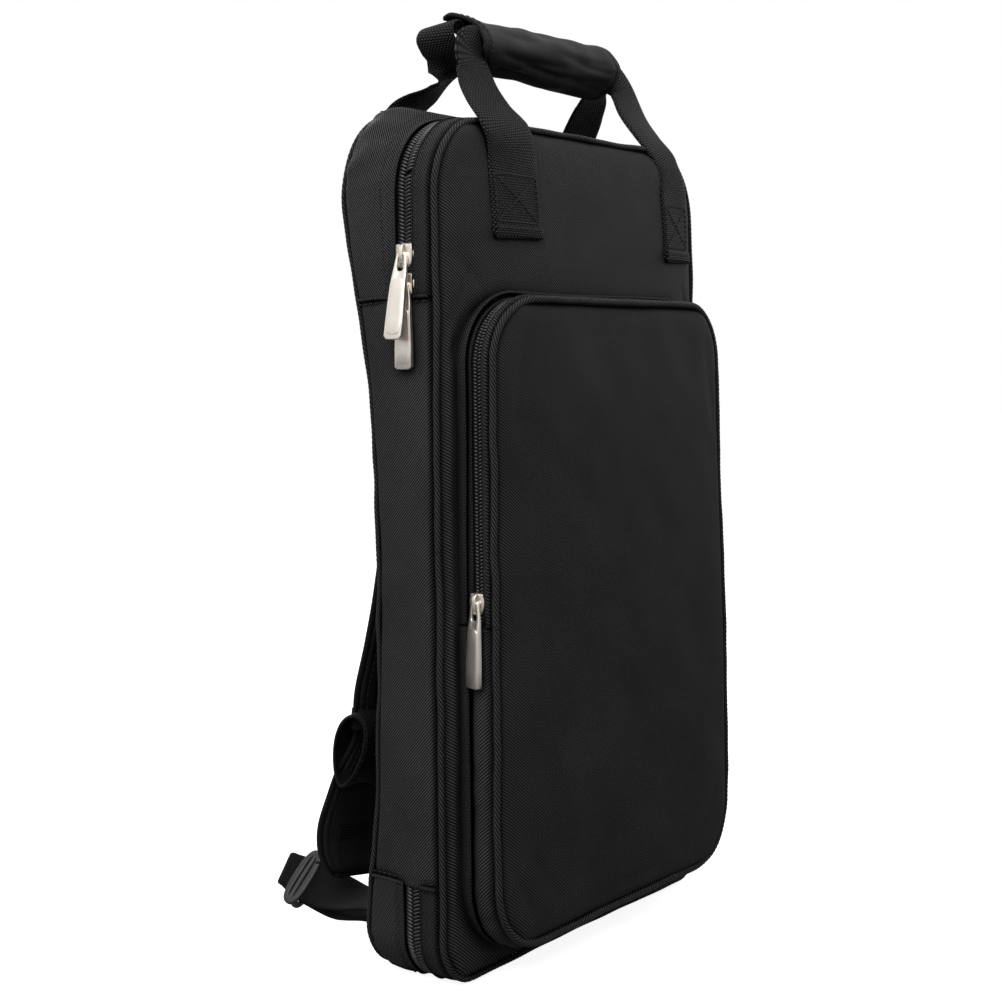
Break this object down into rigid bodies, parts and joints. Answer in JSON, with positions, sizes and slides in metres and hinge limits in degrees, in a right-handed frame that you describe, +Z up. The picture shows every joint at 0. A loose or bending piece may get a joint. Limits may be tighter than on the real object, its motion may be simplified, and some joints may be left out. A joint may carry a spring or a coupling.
{
  "type": "drum stick bag",
  "caption": "Flat soft zip case for drum sticks that opens like a book, with a zipped front pocket, a padded two-strap grip handle and stowed shoulder straps.",
  "frame": {"origin": "centre of the body's flat underside", "axes": "+Z up along the body, +Y out of the back where the shoulder straps are, front pocket at -Y, +X to the right seen from the front"},
  "size_m": [0.2698, 0.1778, 0.538],
  "materials": {
    "twill": "black polyester twill, faint diagonal rib",
    "piping": "bias-cut twill over cord, rope-like diagonal",
    "foam": "closed-cell padding foam",
    "lining": "thin plain-weave lining",
    "zip_coil": "black nylon coil",
    "zip_tape": "black knitted zip tape",
    "webbing": "coarse ribbed black webbing",
    "pad_cloth": "black twill over soft padding",
    "slider_metal": "satin pale nickel die-cast zinc",
    "buckle_plastic": "dark grey moulded acetal"
  },
  "bodies": {
    "back_shell": {"back_panel_outer": "twill", "back_panel_foam": "foam", "back_panel_lining": "lining", "back_piping": "piping", "rear_gusset": "twill", "rear_gusset_lining": "lining", "side_hinge_panel_rear": "twill", "main_zip_tape_rear": "zip_tape", "main_zip_coil_rear": "zip_coil", "main_zip_coil_start": "zip_coil", "inner_stick_sleeve": "lining", "strap_top_anchor": "webbing", "strap_lower_anchors": "webbing", "rear_handle_tabs": "webbing", "back_cushion": "pad_cloth"},
    "front_cover": {"front_panel_outer": "twill", "front_panel_foam": "foam", "front_panel_lining": "lining", "front_piping": "piping", "front_gusset": "twill", "side_hinge_panel_front": "twill", "main_zip_tape_front": "zip_tape", "main_zip_coil_front": "zip_coil", "pocket_base_strip": "twill", "pocket_gusset_lower": "twill", "pocket_panel_lower": "twill", "pocket_lining_lower": "lining", "pocket_piping_lower": "piping", "pocket_zip_tape_base": "zip_tape", "pocket_zip_coil_base": "zip_coil", "front_handle_tabs": "webbing", "inner_mesh_pocket": "lining"},
    "flap": {"pocket_panel_flap": "twill", "pocket_lining_flap": "lining", "pocket_piping_flap": "piping", "pocket_flap_rim": "twill", "pocket_zip_tape_flap": "zip_tape", "pocket_zip_coil_flap": "zip_coil"},
    "slider_upper": {"main_slider_upper": "slider_metal"},
    "slider_lower": {"main_slider_lower": "slider_metal"},
    "slider_pocket": {"pocket_slider": "slider_metal"},
    "puller_upper": {"main_puller_upper": "slider_metal"},
    "puller_lower": {"main_puller_lower": "slider_metal"},
    "puller_pocket": {"pocket_puller": "slider_metal"},
    "front_handle": {"front_handle_webbing": "webbing", "handle_grip_wrap": "pad_cloth"},
    "rear_handle": {"rear_handle_webbing": "webbing"},
    "strap_left": {"strap_pad_left": "pad_cloth", "strap_keeper_left": "webbing", "strap_end_webbing_left": "webbing"},
    "tail_left": {"strap_tail_left": "webbing"},
    "buckle_left": {"strap_buckle_left": "buckle_plastic"},
    "strap_right": {"strap_pad_right": "pad_cloth", "strap_keeper_right": "webbing", "strap_end_webbing_right": "webbing"},
    "tail_right": {"strap_tail_right": "webbing"},
    "buckle_right": {"strap_buckle_right": "buckle_plastic"}
  },
  "joints": [
    {"name": "cover_hinge", "type": "hinge", "parent": "back_shell", "child": "front_cover", "pos_m": [-0.1355, -0.012, 0.213], "axis": [0, 0, -1], "range_deg": [0, 180]},
    {"name": "slider_upper_slide", "type": "slide", "parent": "back_shell", "child": "slider_upper", "axis": [0, 0, 1], "range_m": [0, 0.024]},
    {"name": "slider_lower_slide", "type": "slide", "parent": "back_shell", "child": "slider_lower", "axis": [0, 0, 1], "range_m": [0, 0.024]},
    {"name": "puller_upper_swing", "type": "hinge", "parent": "slider_upper", "child": "puller_upper", "pos_m": [-0.13045, -0.012, 0.394], "axis": [0, 1, 0], "range_deg": [0, 160]},
    {"name": "puller_lower_swing", "type": "hinge", "parent": "slider_lower", "child": "puller_lower", "pos_m": [-0.13045, -0.012, 0.378], "axis": [0, 1, 0], "range_deg": [0, 160]},
    {"name": "pocket_flap_hinge", "type": "hinge", "parent": "front_cover", "child": "flap", "pos_m": [0, -0.0625, 0.195], "axis": [1, 0, 0], "range_deg": [0, 160]},
    {"name": "pocket_slider_slide", "type": "slide", "parent": "front_cover", "child": "slider_pocket", "axis": [0, 0, 1], "range_m": [0, 0.116]},
    {"name": "pocket_puller_swing", "type": "hinge", "parent": "slider_pocket", "child": "puller_pocket", "pos_m": [-0.11645, -0.046, 0.208], "axis": [0, 1, 0], "range_deg": [0, 175]},
    {"name": "front_handle_swing", "type": "hinge", "parent": "front_cover", "child": "front_handle", "pos_m": [0, -0.0323, 0.4705], "axis": [1, 0, 0], "range_deg": [0, 110]},
    {"name": "rear_handle_swing", "type": "hinge", "parent": "back_shell", "child": "rear_handle", "pos_m": [0, 0.0323, 0.4705], "axis": [-1, 0, 0], "range_deg": [0, 110]},
    {"name": "strap_swing_left", "type": "hinge", "parent": "back_shell", "child": "strap_left", "pos_m": [-0.032, 0.0333, 0.452], "axis": [1, 0, 0], "range_deg": [0, 8]},
    {"name": "strap_tail_swing_left", "type": "hinge", "parent": "back_shell", "child": "tail_left", "pos_m": [-0.096, 0.0333, 0.022], "axis": [1, 0, 0], "range_deg": [0, 6.4]},
    {"name": "buckle_slide_left", "type": "slide", "parent": "tail_left", "child": "buckle_left", "axis": [0, -0.9744, -0.225], "range_m": [0, 0.022]},
    {"name": "strap_swing_right", "type": "hinge", "parent": "back_shell", "child": "strap_right", "pos_m": [0.032, 0.0333, 0.452], "axis": [1, 0, 0], "range_deg": [0, 8]},
    {"name": "strap_tail_swing_right", "type": "hinge", "parent": "back_shell", "child": "tail_right", "pos_m": [0.096, 0.0333, 0.022], "axis": [1, 0, 0], "range_deg": [0, 6.4]},
    {"name": "buckle_slide_right", "type": "slide", "parent": "tail_right", "child": "buckle_right", "axis": [0, -0.9744, -0.225], "range_m": [0, 0.022]}
  ],
  "couplings": [
    {"joint": "slider_lower_slide", "follows": "slider_upper_slide", "ratio": 1},
    {"joint": "puller_lower_swing", "follows": "puller_upper_swing", "ratio": 1},
    {"joint": "strap_tail_swing_left", "follows": "strap_swing_left", "ratio": 0.8},
    {"joint": "strap_tail_swing_right", "follows": "strap_swing_right", "ratio": 0.8}
  ]
}
